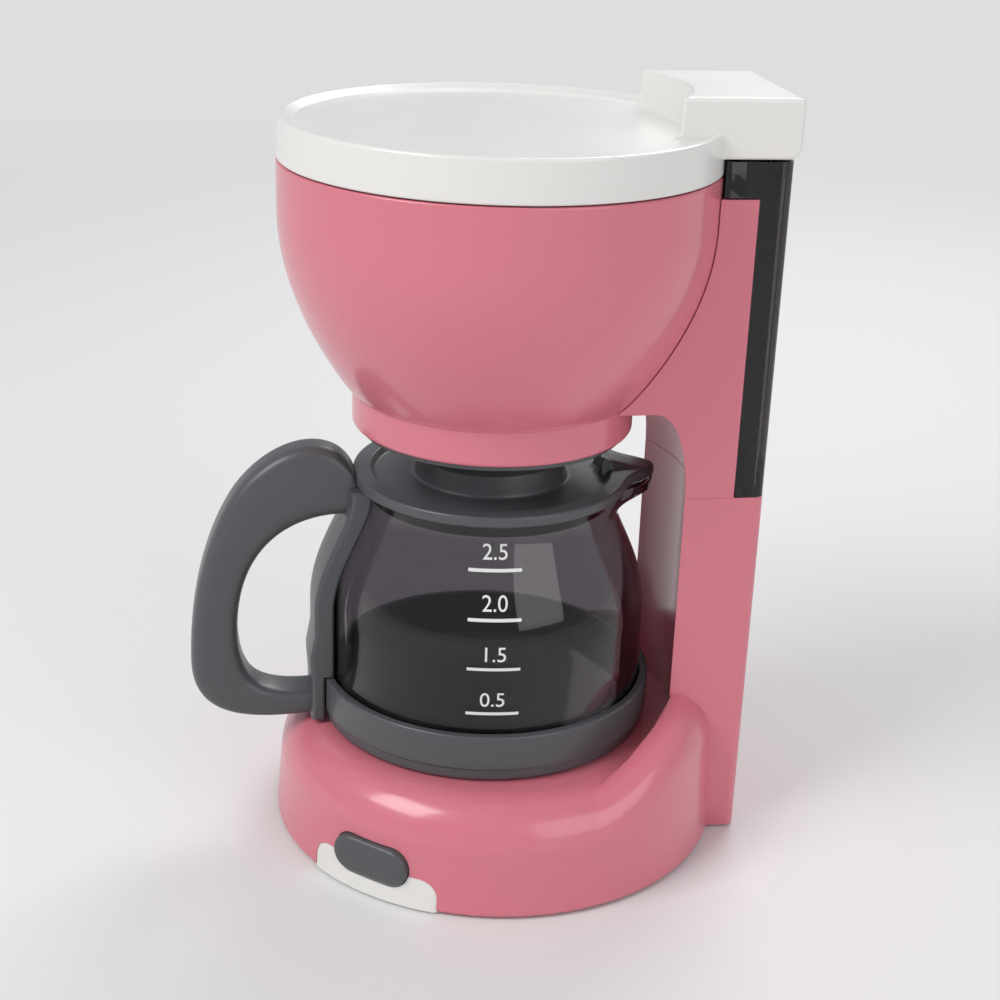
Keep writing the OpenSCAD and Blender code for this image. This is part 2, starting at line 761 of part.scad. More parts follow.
module handle_loop() {
    reach = handle_reach;
    outer = concat(
        bezier([jug_neck_r + 4.3, jug_top + 2], [jug_neck_r + 6, jug_top + 13],
            [reach - 21, jug_top + 12], [reach - 11, jug_top - 2]),
        bezier([reach - 11, jug_top - 2], [reach - 3, jug_top - 14],
            [reach, jug_z + 27.7], [reach, jug_z + 14.7]),
        bezier([reach, jug_z + 14.7], [reach, jug_z - 0.3],
            [reach - 13, jug_z - 1.3], [band_r + 1, jug_z + 0.7]));
    inner = concat(
        bezier([band_r + 1, jug_z + 6.7], [reach - 23, jug_z + 6.2], [reach - 17, jug_z + 6.7],
            [reach - 14, jug_z + 10.7]),
        bezier([reach - 14, jug_z + 10.7], [reach - 10.5, jug_z + 15.7],
            [reach - 10.5, jug_z + 26.7], [reach - 13, jug_z + 34.7]),
        bezier([reach - 13, jug_z + 34.7], [reach - 16, jug_top - 15], [reach - 24, jug_top - 7],
            [jug_neck_r + 4.3, jug_top - 7.5]));
    rotate([90, 0, -90]) translate([0, 0, -handle_w / 2]) linear_extrude(handle_w)
        polygon(concat(outer, inner));
}

module jug_handle() {
    strip_half = handle_w / 2 + 3;
    strip_gap = 0.25;
    strip_t = 3.2;
    inner = concat([[band_r + strip_gap, jug_z + 0.7], [band_r + strip_gap, band_top + strip_gap],
        [jug_at(bend_z) + strip_gap, band_top + strip_gap]],
        [for (z = jug_steps) [jug_at(z) + strip_gap, z]], [[jug_neck_r + strip_gap, jug_top]]);
    outer = concat([[jug_neck_r + strip_t + 1.5, jug_top]],
        [for (i = [14 : -1 : 0]) [jug_at(jug_steps[i]) + strip_t + 1.5, jug_steps[i]]],
        [[band_r + strip_t, band_top], [band_r + strip_t, jug_z + 0.7]]);
    color(grey) {
        intersection() {
            turned(concat(inner, outer));
            slab(-strip_half, strip_half, -80, 0, 0, 200);
        }
        difference() {
            handle_loop();
            turned(concat([[0, 0], [band_r + strip_t - 1, 0], [band_r + strip_t - 1, band_top]],
                [for (z = jug_steps) [jug_at(z) + strip_t, z]], [[jug_neck_r + strip_t, jug_top],
                [jug_neck_r + strip_t + 0.8, jug_top + 30], [0, jug_top + 30]]));
        }
        difference() {
            slab(-3, 3, -(band_r + 1.5), -(jug_r + 0.5), jug_z + 4.2, jug_z + 8.2);
            cylinder(r = jug_r + 0.4, h = 100, $fn = 120);
        }
    }
}

module jug_lid() {
    rim = lid_rim_r;
    plug_r = jug_neck_r - jug_wall - 0.3;
    beak = jug_neck_r + 10;
    color(grey) {
        turned([[0, jug_top + 6], [15.2, jug_top + 6], [15.2, jug_top - 0.4], [plug_r - 2, jug_top - 0.4],
            [plug_r - 2, jug_top - 4], [plug_r, jug_top - 4], [plug_r, jug_top],
            [rim - 0.6, jug_top], [rim, jug_top + 0.6], [rim, jug_top + 2], [rim - 0.6, jug_top + 2.6],
            [rim - 4, jug_top + 2.6], [rim - 5, jug_top + 1.2], [18, jug_top + 1.2], [17, jug_top + 6.2],
            [15.5, jug_top + 7.6], [0, jug_top + 7.6]]);
        translate([0, 0, jug_top]) linear_extrude(2) {
            polygon([[-11, rim - 3], [11, rim - 3], [2.4, beak - 2],
                [1.2, beak], [-1.2, beak], [-2.4, beak - 2]]);
        }
        across(4) polygon([[rim - 6, jug_top + 1], [rim - 6, jug_top + 5], [beak - 1.4, jug_top + 1.9],
            [beak - 1.4, jug_top + 1]]);
    }
}

base_shell();
base_cover();
front_panel();
column_lower();
column_upper();
brew_bowl();
outlet_ring();
water_tank();
hinge_pin();
top_lid();
power_button();
switch_board();
tact_switch();
circuit_board();
led();
speaker();
battery_tray();
battery_contacts();
cell_left();
cell_right();
battery_door();
door_screw();
case_screws();
jug_body();
jug_band();
jug_floor();
jug_handle();
jug_lid();
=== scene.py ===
import json
import math

import bmesh
import bpy
import numpy as np
from mathutils import Matrix, Vector


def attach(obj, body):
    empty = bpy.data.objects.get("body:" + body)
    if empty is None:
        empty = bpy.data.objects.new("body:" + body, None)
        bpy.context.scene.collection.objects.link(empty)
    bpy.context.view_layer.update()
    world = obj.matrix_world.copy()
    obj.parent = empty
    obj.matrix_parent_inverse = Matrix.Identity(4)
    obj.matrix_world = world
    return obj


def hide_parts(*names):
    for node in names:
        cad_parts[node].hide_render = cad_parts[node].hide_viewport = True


# Toy coffee maker. Z points up along the jug's axis, the jug's handle points to -Y, the column and the tank
# stand at +Y, and the button and the jug's scale are on the +X side.

# pieces are worked out in millimetres, and the frame is in metres
MM = 0.001
# edges sharper than this many radians stay sharp
EDGE_ANGLE = 0.6
BACKDROP = (0.73, 0.73, 0.73)


# ---------------------------------------------------------------- studio

def aim_camera(place, target, tilt_deg, lens):
    """A camera at place looking at target, rolled by tilt_deg about its own line of sight."""
    data = bpy.data.cameras.new("studio_camera")
    data.lens = lens
    data.sensor_width = 36
    data.clip_start = 0.01
    camera = bpy.data.objects.new("studio_camera", data)
    bpy.context.collection.objects.link(camera)
    look = (Vector(target) - Vector(place)).to_track_quat("-Z", "Y").to_matrix().to_4x4()
    camera.matrix_world = Matrix.Translation(place) @ look @ Matrix.Rotation(math.radians(tilt_deg), 4, "Z")
    bpy.context.scene.camera = camera


def soft_box(name, place, target, size, power):
    """A rectangular area lamp at place facing target."""
    data = bpy.data.lights.new(name, "AREA")
    data.shape = "RECTANGLE"
    data.size, data.size_y = size
    data.energy = power
    lamp = bpy.data.objects.new(name, data)
    bpy.context.collection.objects.link(lamp)
    aim = (Vector(target) - Vector(place)).to_track_quat("-Z", "Y")
    lamp.matrix_world = Matrix.Translation(place) @ aim.to_matrix().to_4x4()


# ---------------------------------------------------------------- shader maths

class Sock:
    """A socket or number in a material's node tree; arithmetic on it adds Math nodes."""

    def __init__(self, paint, value):
        self.paint, self.value = paint, value

    def _math(self, operation, *others):
        return self.paint.node("ShaderNodeMath", {"operation": operation},
                               {i: v for i, v in enumerate((self,) + others)})

    def __add__(self, other):
        return self._math("ADD", other)

    __radd__ = __add__

    def __mul__(self, other):
        return self._math("MULTIPLY", other)

    __rmul__ = __mul__

    def __sub__(self, other):
        return self._math("SUBTRACT", other)

    def __rsub__(self, other):
        return Sock(self.paint, other)._math("SUBTRACT", self)

    def above(self, edge, soft):
        """0 below edge, 1 above edge + soft, smooth between."""
        return self.paint.node("ShaderNodeMapRange", {"interpolation_type": "SMOOTHSTEP"},
                               {"Value": self, "From Min": edge, "From Max": edge + soft})


class Paint:
    """One material with its node tree and shader."""

    def __init__(self, name):
        self.material = bpy.data.materials.new(name)
        self.material.use_nodes = True
        self.tree = self.material.node_tree
        self.shader = self.tree.nodes["Principled BSDF"]
        self.place = self.node("ShaderNodeTexCoord", {}, {}, "Object")

    def node(self, kind, settings, inputs, output=0):
        """Adds a node with these settings and inputs and gives one of its outputs."""
        made = self.tree.nodes.new(kind)
        for key, value in settings.items():
            setattr(made, key, value)
        for key, value in inputs.items():
            self.feed(made.inputs[key], value)
        return Sock(self, made.outputs[output])

    def feed(self, socket, value):
        """Links a socket, or writes a constant straight on it."""
        if isinstance(value, Sock):
            value = value.value
        if isinstance(value, bpy.types.NodeSocket):
            self.tree.links.new(value, socket)
        else:
            socket.default_value = value

    def set(self, **values):
        """Feeds the shader's inputs; an underscore stands for a space in an input's name."""
        for key, value in values.items():
            self.feed(self.shader.inputs[key.replace("_", " ")], value)

    def noise(self, scale, detail, rough=0.5):
        """Noise with scale cells a metre and detail finer layers, each rough times as strong as the last."""
        return self.node("ShaderNodeTexNoise", {},
                         {"Vector": self.place, "Scale": scale, "Detail": detail, "Roughness": rough})

    def mix(self, factor, one, other):
        """Colour one where factor is 0, other where it is 1."""
        return self.node("ShaderNodeMix", {"data_type": "RGBA"}, {0: factor, 6: one, 7: other}, 2)

    def bump(self, height, distance):
        """Normal of a surface whose height of 1 stands for distance in metres."""
        return self.node("ShaderNodeBump", {}, {"Height": height, "Distance": distance})


def moulded(name, colour, fleck, rough, coat=0.0, grain=None, soft=0.0):
    """Injection-moulded plastic: small flecks in one even colour, a sheen that drifts from place to place, a
    slow ripple in the surface and, where grain is its scale, a fine grain."""
    paint = Paint(name)
    specks = paint.noise(900, 1).above(0.74, 0.06)
    paint.set(Base_Color=paint.mix(specks, (*colour, 1), (*fleck, 1)))
    handled = paint.noise(60, 2).above(0.3, 0.4)
    paint.set(Roughness=rough + 0.04 * handled)
    height = paint.noise(70, 1)
    if grain:
        height = height + 1.6 * paint.noise(grain, 2, 0.7)
    paint.set(Normal=paint.bump(height, 0.000006))
    paint.set(Coat_Weight=coat, Coat_Roughness=0.08)
    if soft:
        paint.set(Subsurface_Weight=soft, Subsurface_Radius=(1.0, 0.5, 0.4), Subsurface_Scale=0.0012)
    return paint.material


def tinted_clear(name, colour, rough):
    """Clear tinted plastic: light passes through and takes the tint at each face."""
    paint = Paint(name)
    marks = paint.noise(60, 3).above(0.45, 0.35)
    paint.set(Base_Color=(*colour, 1), Roughness=rough + 0.03 * marks, Transmission_Weight=1.0, IOR=1.46)
    paint.set(Normal=paint.bump(paint.noise(90, 1), 0.00001))
    return paint.material


def metal(name, colour, rough):
    """Plated steel with fine scratches."""
    paint = Paint(name)
    scratch = paint.noise(1400, 2)
    paint.set(Base_Color=paint.mix(scratch, (*colour, 1), (*[c * 0.85 for c in colour], 1)), Metallic=1.0)
    paint.set(Roughness=rough + 0.15 * scratch, Normal=paint.bump(scratch, 0.00001))
    return paint.material


def pale_floor(colour, far_colour):
    """Matt floor; seen directly, in a reflection or through clear plastic it turns into an even glow of
    far_colour between 0.25 m and 1.1 m from the middle, so that its far part stays pale."""
    paint = Paint("pale_floor")
    paint.set(Base_Color=(*colour, 1), Roughness=0.65 + 0.1 * paint.noise(30, 2))
    away = paint.node("ShaderNodeVectorMath", {"operation": "LENGTH"}, {0: paint.place}, 1)
    seen = [paint.node("ShaderNodeLightPath", {}, {}, kind)
            for kind in ("Is Camera Ray", "Is Glossy Ray", "Is Transmission Ray")]
    share = away.above(0.25, 0.85) * (seen[0] + seen[1] + seen[2])
    glow = paint.node("ShaderNodeEmission", {}, {"Color": (*far_colour, 1), "Strength": 1.0})
    shown = paint.node("ShaderNodeMixShader", {}, {0: share, 1: paint.shader.outputs[0], 2: glow})
    out = paint.tree.nodes["Material Output"]
    paint.feed(out.inputs["Surface"], shown)
    return paint.material


def pale_world(light, shown):
    """World that lights the scene with the colour light and is seen in the colour shown."""
    made = bpy.data.worlds.new("studio")
    made.use_nodes = True
    tree = made.node_tree
    back = tree.nodes["Background"]
    path = tree.nodes.new("ShaderNodeLightPath")
    mix = tree.nodes.new("ShaderNodeMix")
    mix.data_type = "RGBA"
    mix.inputs[6].default_value, mix.inputs[7].default_value = (*light, 1), (*shown, 1)
    tree.links.new(path.outputs["Is Camera Ray"], mix.inputs[0])
    tree.links.new(mix.outputs[2], back.inputs["Color"])
    return made


# ---------------------------------------------------------------- surfaces

def filleted(corners, radius, steps=5):
    """A closed outline whose corners become circular arcs that touch both sides; radius is one number or one
    a corner, and shrinks where a side is short."""
    p = np.asarray(corners, float)
    before, after = np.roll(p, 1, 0) - p, np.roll(p, -1, 0) - p
    lb, la = (np.linalg.norm(side, axis=1)[:, None] for side in (before, after))
    before, after = before / lb, after / la
    half = np.arccos(np.clip((before * after).sum(1), -1, 1))[:, None] / 2
    wanted = np.broadcast_to(np.asarray(radius, float), len(p))[:, None]
    reach = np.minimum(wanted / np.tan(half), 0.49 * np.minimum(lb, la))
    middle = before + after
    middle = middle / np.maximum(np.linalg.norm(middle, axis=1)[:, None], 1e-9)
    centre = p + middle * reach / np.cos(half)
    start, end = p + before * reach - centre, p + after * reach - centre
    sweep = np.maximum(np.pi - 2 * half, 1e-4)
    t = np.linspace(0, 1, steps + 1)[None, :, None]
    sweep = sweep[:, None]
    arc = (np.sin((1 - t) * sweep) * start[:, None] + np.sin(t * sweep) * end[:, None]) / np.sin(sweep)
    return (centre[:, None] + arc).reshape(-1, 2)


def dense(loop, step):
    """The same closed outline with its sides cut into equal pieces no longer than step."""
    loop = np.asarray(loop, float)
    side = np.roll(loop, -1, 0) - loop
    counts = np.maximum(1, np.ceil(np.linalg.norm(side, axis=1) / step)).astype(int)
    owner = np.repeat(np.arange(len(loop)), counts)
    part = np.arange(counts.sum()) - np.repeat(np.cumsum(counts) - counts, counts)
    return loop[owner] + side[owner] * (part / counts[owner])[:, None]


def outward(loop):
    """Unit normals of a closed outline, pointing away from the area it encloses."""
    along = np.roll(loop, -1, 0) - np.roll(loop, 1, 0)
    normal = np.stack([along[:, 1], -along[:, 0]], 1) / (np.linalg.norm(along, axis=1)[:, None] + 1e-12)
    area = np.sum(loop[:, 0] * np.roll(loop[:, 1], -1) - np.roll(loop[:, 0], -1) * loop[:, 1])
    return normal * np.sign(area)


def shade(work):
    """Shades smoothly except over sharp edges."""
    for edge in work.edges:
        edge.smooth = edge.calc_face_angle(0) < EDGE_ANGLE
    for face in work.faces:
        face.smooth = True


def settle(piece):
    """Merges doubles, turns the faces outwards and shades smoothly except over sharp edges."""
    work = bmesh.new()
    work.from_mesh(piece.data)
    bmesh.ops.remove_doubles(work, verts=work.verts, dist=3e-6)
    bmesh.ops.dissolve_degenerate(work, edges=work.edges, dist=1e-7)
    bmesh.ops.recalc_face_normals(work, faces=work.faces)
    shade(work)
    work.to_mesh(piece.data)
    work.free()
    return piece


def piece_from(name, grid, capped=False):
    """An object from a grid of millimetre points whose rows are closed rings. The last row joins the first,
    or, where capped is set, these two rows are filled instead."""
    grid = np.asarray(grid, float)
    nu, nv = grid.shape[:2]
    index = np.arange(nu * nv).reshape(nu, nv)
    if not capped:
        index = np.concatenate([index, index[:1]])
    index = np.concatenate([index, index[:, :1]], 1)
    quads = np.stack([index[:-1, :-1], index[1:, :-1], index[1:, 1:], index[:-1, 1:]], -1).reshape(-1, 4)
    faces = quads.tolist()
    if capped:
        faces += [list(range(nv))[::-1], list(range((nu - 1) * nv, nu * nv))]
    data = bpy.data.meshes.new(name)
    data.from_pydata((grid.reshape(-1, 3) * MM).tolist(), [], faces)
    piece = bpy.data.objects.new(name, data)
    bpy.context.collection.objects.link(piece)
    return settle(piece)


def finished(piece, slot, body, *nodes, look=None):
    """Gives a piece its material and its body, and hides the CAD nodes that it stands for. The material is
    the slot's, or the one named by look."""
    piece.data.materials.clear()
    piece.data.materials.append(FINISH[look or slot])
    keep = piece.modifiers.new("even_normals", "WEIGHTED_NORMAL")
    keep.keep_sharp = True
    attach(piece, body)
    if nodes:
        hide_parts(*nodes)


def carve(piece, *cutters):
    """Takes the cutters' space out of piece and removes the cutters."""
    for cutter in cutters:
        cut = piece.modifiers.new("cut", "BOOLEAN")
        cut.operation, cut.object, cut.solver = "DIFFERENCE", cutter, "EXACT"
    bpy.context.view_layer.update()
    result = bpy.data.meshes.new_from_object(piece.evaluated_get(bpy.context.evaluated_depsgraph_get()))
    piece.modifiers.clear()
    piece.data = result
    for cutter in cutters:
        bpy.data.objects.remove(cutter)
    return settle(piece)


def cutters_from(*grids):
    """Capped pieces that carve() takes away."""
    return [piece_from("cutter", grid, capped=True) for grid in grids]


def turned(loop, turns=256):
    """Grid of a closed side view of points (r, z) carried round the Z axis:
    x = r sin a, y = -r cos a, z = z."""
    loop = np.asarray(loop, float)
    a = np.linspace(0, 2 * np.pi, turns, endpoint=False)[None, :]
    r, z = loop[:, :1], loop[:, 1:]
    return np.stack([r * np.sin(a), -r * np.cos(a), z + 0 * a], -1)


def stacked(plan, low, high, edge=0.0):
    """Grid of a plan outline raised from low to high, whose two ends are rounded by a quarter circle of
    radius edge: ring i is drawn in by edge (1 - sin q) at low + edge (1 - cos q), and mirrored at the top."""
    plan = np.asarray(plan, float)
    q = np.linspace(0, np.pi / 2, 5)
    inset = np.concatenate([edge * (1 - np.sin(q)), edge * (1 - np.sin(q[::-1]))])
    level = np.concatenate([low + edge * (1 - np.cos(q)), high - edge * (1 - np.cos(q[::-1]))])
    rings = plan[None] - outward(plan)[None] * inset[:, None, None]
    return np.concatenate([rings, np.broadcast_to(level[:, None, None], rings.shape[:2] + (1,))], -1)


def carried_across(loop, half, edge, bend, columns=40, share=1.0):
    """Grid of a closed side view of points (r, z) carried across X from -half to half, with rounded ends:
    y = bend(r, x), and near an end each point is drawn in by edge (1 - sin q) times its share."""
    q = np.linspace(0, np.pi / 2, 5)
    flat = np.linspace(edge - half, half - edge, columns)[1:-1]
    x = np.concatenate([edge * (1 - np.cos(q)) - half, flat, half - edge * (1 - np.cos(q[::-1]))])
    inset = np.concatenate([edge * (1 - np.sin(q)), 0 * flat, edge * (1 - np.sin(q[::-1]))])
    inward = -outward(loop) * np.broadcast_to(share, len(loop))[:, None]
    rings = loop[None] + inward[None] * inset[:, None, None]
    r, z = rings[..., 0], rings[..., 1]
    across = x[:, None] + 0 * r
    return np.stack([across, bend(r, across), z], -1)


def capsule(length, height, z, turns=48):
    """Outline of a bar with half-round ends, centred at height z."""
    a = np.linspace(0, 2 * np.pi, turns, endpoint=False) + np.pi / turns
    r = height / 2
    return np.stack([r * np.cos(a) + np.sign(np.cos(a)) * (length / 2 - r), z + r * np.sin(a)], 1)


def face_on(grid):
    """Moves a grid of (across, up, out) points to the button's place: across runs along the base's side, out
    away from the base's centre."""
    s, c = np.sin(BUTTON_TURN), np.cos(BUTTON_TURN)
    across, up, out = grid[..., 0], grid[..., 1], grid[..., 2]
    return np.stack([across * c + out * s, BASE_BACK + across * s - out * c, up], -1)


def on_circle(r, x):
    """Distance along Y of a point at x on a circle of radius r."""
    return np.sqrt(np.maximum(r * r - x * x, 1))


def signed_power(value, power):
    """sgn(value) |value|^power."""
    return np.sign(value) * np.abs(value) ** power


def smooth(value, low, high):
    """0 below low, 1 above high, t t (3 - 2 t) between."""
    t = np.clip((value - low) / (high - low), 0, 1)
    return t * t * (3 - 2 * t)


def bezier(*points):
    """24 points of the cubic Bezier curve s^3 a + 3 s^2 t b + 3 s t^2 c + t^3 d with s = 1 - t, without its
    end."""
    a, b, c, d = (np.asarray(p, float)[None] for p in points)
    t = np.linspace(0, 1, 24, endpoint=False)[:, None]
    s = 1 - t
    return s ** 3 * a + 3 * s * s * t * b + 3 * s * t * t * c + t ** 3 * d


def even(curve, n):
    """n points at equal distances along an open curve."""
    run = np.concatenate([[0], np.cumsum(np.linalg.norm(np.diff(curve, axis=0), axis=1))])
    at = np.linspace(0, run[-1], n)
    return np.stack([np.interp(at, run, curve[:, 0]), np.interp(at, run, curve[:, 1])], 1)


# ---------------------------------------------------------------- sizes, in millimetres

WALL = 2.2
# base, with the circle that the jug stands in
SEAT_Z, SEAT_R, ARCH_R = 27.0, 42.5, 46.7
BASE_R, BASE_BACK, BASE_DRAFT, SHOULDER_W, SHOULDER_Z = 54.5, 3.5, 1.2, 10.5, 15.0
FOOT_Z, COVER_HOLE_R, COVER_TOP = 0.6, 52.15, 2.6
HUMP_START, HUMP_SLOPE, HUMP_RISE, HUMP_EDGE = 20.0, 0.479, 11.0, 0.7
HALF_W, INNER_W = 20.5, 18.5
# bowl and lid
BOWL_R, NECK_R, NECK_Z, BOWL_TOP, SWELL_Z, SWELL_H = 49.2, 32.5, 101.0, 161.5, 109.0, 41.4
BRIDGE_FRONT, BRIDGE_LOW, BRIDGE_TOP, BRIDGE_EDGE = 10.0, 110.6, 156.0, 0.4
LID_Z, LID_TOP, LID_SHEET, DISH_Z, DISH_R, DISH_SIDE = 161.8, 171.0, 2.0, 169.8, 45.1, 2.4
SKIRT_R, SKIRT_T, SKIRT_H = 46.4, 2.0, 3.0
HOOD_Z, HOOD_TOP, HOOD_BACK, HOOD_R, HOOD_LEAN, HOOD_FOOT = 165.5, 178.5, 62.0, 40.3, 0.24, 1.5
HOOD_SEAT, HOOD_END, HOLLOW_FRONT, HOLLOW_BACK, HOLLOW_TOP = 47.6, 0.8, 49.6, 56.3, 176.4
LUG_X, LUG_SLOT, LUG_FRONT = 14.0, 2.3, 56.2
# jug
JUG_Z, JUG_R, JUG_NECK, JUG_TOP, JUG_WALL = 27.3, 37.8, 29.3, 86.8, 1.6
BAND_R, BAND_TOP, DISC_Z, GLASS_Z, BEND_Z, BEND_TOP = 40.0, 39.0, 29.3, 31.3, 56.0, 83.8
SPOUT_REACH, SPOUT_TURN = 9.7, 16
GRIP_W, STRIP_HALF, STRIP_T, STRIP_END, FIT = 5.5, 8.5, 4.7, 0.8, 0.25
# jug lid; its heights are above the jug's top
CAP_R, CAP_RIM, CAP_FLOOR, CAP_T, PLUG_R, PLUG_T, PLUG_H = 32.3, 2.6, 1.2, 1.6, 27.4, 2.0, 4.0
KNOB_R, KNOB_T, KNOB_TOP = 17.0, 1.8, 7.6
BEAK_REACH, BEAK_TURN = 7.0, 10
RIDGE_START, RIDGE_END, RIDGE_HIGH, RIDGE_LOW, RIDGE_HALF = 26.3, 37.9, 5.0, 1.9, 3.75
# printed scale
SCALE_TURN, BAR_HALF, BAR_H, INK_LOW, INK_HIGH, DIGIT_H = math.radians(84.7), 6.0, 0.7, 0.02, 0.08, 4.9
# each mark's number, and the heights of its bar and its number
SCALE_MARKS = (("0.5", 44.0, 47.3), ("1.5", 55.1, 58.5), ("2.0", 66.3, 69.6), ("2.5", 76.5, 80.2))
# button and panel
BUTTON_TURN, BUTTON_Z, BUTTON_L, BUTTON_H = math.radians(50), 9.4, 20.0, 9.4
BUTTON_FACE, BUTTON_EDGE, BUTTON_DOME = 55.1, 1.1, 0.22
FLANGE_IN, FLANGE_OUT, FLANGE_MORE, STEM_IN, STEM_R = 47.3, 49.2, 1.2, 44.8, 2.0
SLOT_GAP, SLOT_IN, SLOT_OUT = 0.25, 43.3, 60.3
PANEL_W, PANEL_H, PANEL_ROUND, PANEL_PROUD = 34.0, 8.2, 4.5, 0.12
# outlet
OUTLET_LOW, OUTLET_HOLE_R = 4.0, 2.5


def bowl_at(z):
    """Outer radius of the bowl: from the neck's to the mouth's by sin(t pi / 2)^0.85."""
    t = np.clip((z - SWELL_Z) / SWELL_H, 0, 1)
    return NECK_R + (BOWL_R - NECK_R) * np.sin(t * np.pi / 2) ** 0.85


def jug_at(z):
    """Outer radius of the jug: straight up to BEND_Z, then in to the neck's by cos(t pi / 2)^1.45."""
    t = np.clip((z - BEND_Z) / (BEND_TOP - BEND_Z), 0, 1)
    return JUG_NECK + (JUG_R - JUG_NECK) * np.abs(np.cos(t * np.pi / 2)) ** 1.45


def column(r, z):
    """Points (r, z) from two arrays, or from an array and a number."""
    return np.stack([r + 0 * z, z + 0 * r], 1)


def button_slot():
    """Grid of the space that the button moves in."""
    plan = capsule(BUTTON_L + 2 * SLOT_GAP, BUTTON_H + 2 * SLOT_GAP, BUTTON_Z)
    return face_on(stacked(plan, SLOT_IN, SLOT_OUT))


# ---------------------------------------------------------------- pieces

def bowl():
    """Brew bowl: a closed side view, up the outside at radius bowl_at(z), round the rim and down the inside
    at bowl_at(z) - WALL, turned about the jug's axis. Its bridge to the column is a box cut off inside the
    wall."""
    z = SWELL_Z + SWELL_H * np.linspace(0, 1, 57) ** 1.25
    outside = column(bowl_at(z), z)
    inside = column(bowl_at(z[::-1]) - WALL, z[::-1])
    inner, start = BOWL_R - WALL, BOWL_TOP - 6.5
    rim = filleted([(BOWL_R, start), (BOWL_R, BOWL_TOP), (inner, BOWL_TOP), (inner, start)], [0, 0.5, 0.5, 0])
    foot = filleted([(NECK_R - 3, NECK_Z + 3), (NECK_R - 3, NECK_Z), (NECK_R, NECK_Z), (NECK_R, NECK_Z + 5)],
                    [0, 0.4, 1.0, 0])
    wall = piece_from("brew_bowl_wall", turned(np.concatenate([foot, outside, rim, inside])))
    finished(wall, "pink_plastic", "housing", "brew_bowl")
    plan = [(-INNER_W, BRIDGE_FRONT), (INNER_W, BRIDGE_FRONT), (INNER_W, BOWL_R), (-INNER_W, BOWL_R)]
    box = stacked(filleted(plan, BRIDGE_EDGE), BRIDGE_LOW, BRIDGE_TOP, BRIDGE_EDGE)
    z = np.linspace(NECK_Z + 4, BOWL_TOP + 0.5, 60)
    core = np.concatenate([[(0, z[0])], column(bowl_at(z) - WALL / 2, z), [(0, z[-1])]])
    bridge = carve(piece_from("brew_bowl_bridge", box, capped=True), piece_from("core", turned(core, 180)))
    finished(bridge, "pink_plastic", "housing", "brew_bowl")


def lid():
    """Lid: a disc with a dished top and a skirt, turned about the jug's axis, and a square back whose side
    view is carried across X with its front edge on a circle: y = sqrt(r r - x x), passing into y = r further
    back."""
    low = DISH_Z - LID_SHEET
    inner, skirt_z = SKIRT_R - SKIRT_T, LID_Z - SKIRT_H
    disc = filleted([(0, low), (0, DISH_Z), (DISH_R, DISH_Z), (DISH_R + DISH_SIDE, LID_TOP),
                     (BOWL_R - 0.35, LID_TOP), (BOWL_R, LID_Z), (SKIRT_R, LID_Z), (SKIRT_R - 0.2, skirt_z),
                     (inner, skirt_z), (inner, low)],
                    [0, 0, 1.2, 0.6, 0.9, 0.5, 0.3, 0.5, 0.5, 0.5])
    finished(piece_from("lid_disc", turned(disc)), "white_plastic", "lid", "top_lid")
    toe, sunk = HOOD_R - 2 * HOOD_FOOT, DISH_Z - 1.7
    side = filleted([(toe, DISH_Z - 0.02), (HOOD_R, DISH_Z - 0.02), (HOOD_R + HOOD_LEAN, HOOD_TOP),
                     (HOOD_BACK, HOOD_TOP), (HOOD_BACK, HOOD_Z), (HOOD_SEAT, HOOD_Z), (HOOD_SEAT, sunk),
                     (toe, sunk)], [0, HOOD_FOOT, 0.9, 1.4, 2.7, 0.2, 0.2, 0], 6)
    side = dense(side, 1.5)

    def bend(r, x):
        round_share = np.clip((56 - r) / 8, 0, 1)
        return round_share * on_circle(r, x) + (1 - round_share) * r

    # points that lie inside the disc aren't drawn in at the ends
    bare = np.maximum(smooth(side[:, 0], HOOD_SEAT + 0.1, BOWL_R),
                      smooth(side[:, 1], DISH_Z, DISH_Z + HOOD_FOOT))
    hood = piece_from("lid_back", carried_across(side, HALF_W, HOOD_END, bend, share=bare), capped=True)
    below, behind = LID_Z - 1.8, HOOD_BACK + 2
    hollow = stacked([(-INNER_W, HOLLOW_FRONT), (INNER_W, HOLLOW_FRONT), (INNER_W, HOLLOW_BACK),
                      (-INNER_W, HOLLOW_BACK)], below, HOLLOW_TOP)
    slots = [stacked([(x - LUG_SLOT, LUG_FRONT), (x + LUG_SLOT, LUG_FRONT), (x + LUG_SLOT, behind),
                      (x - LUG_SLOT, behind)], below, LID_TOP) for x in (-LUG_X, LUG_X)]
    finished(carve(hood, *cutters_from(hollow, *slots)), "white_plastic", "lid", "top_lid")


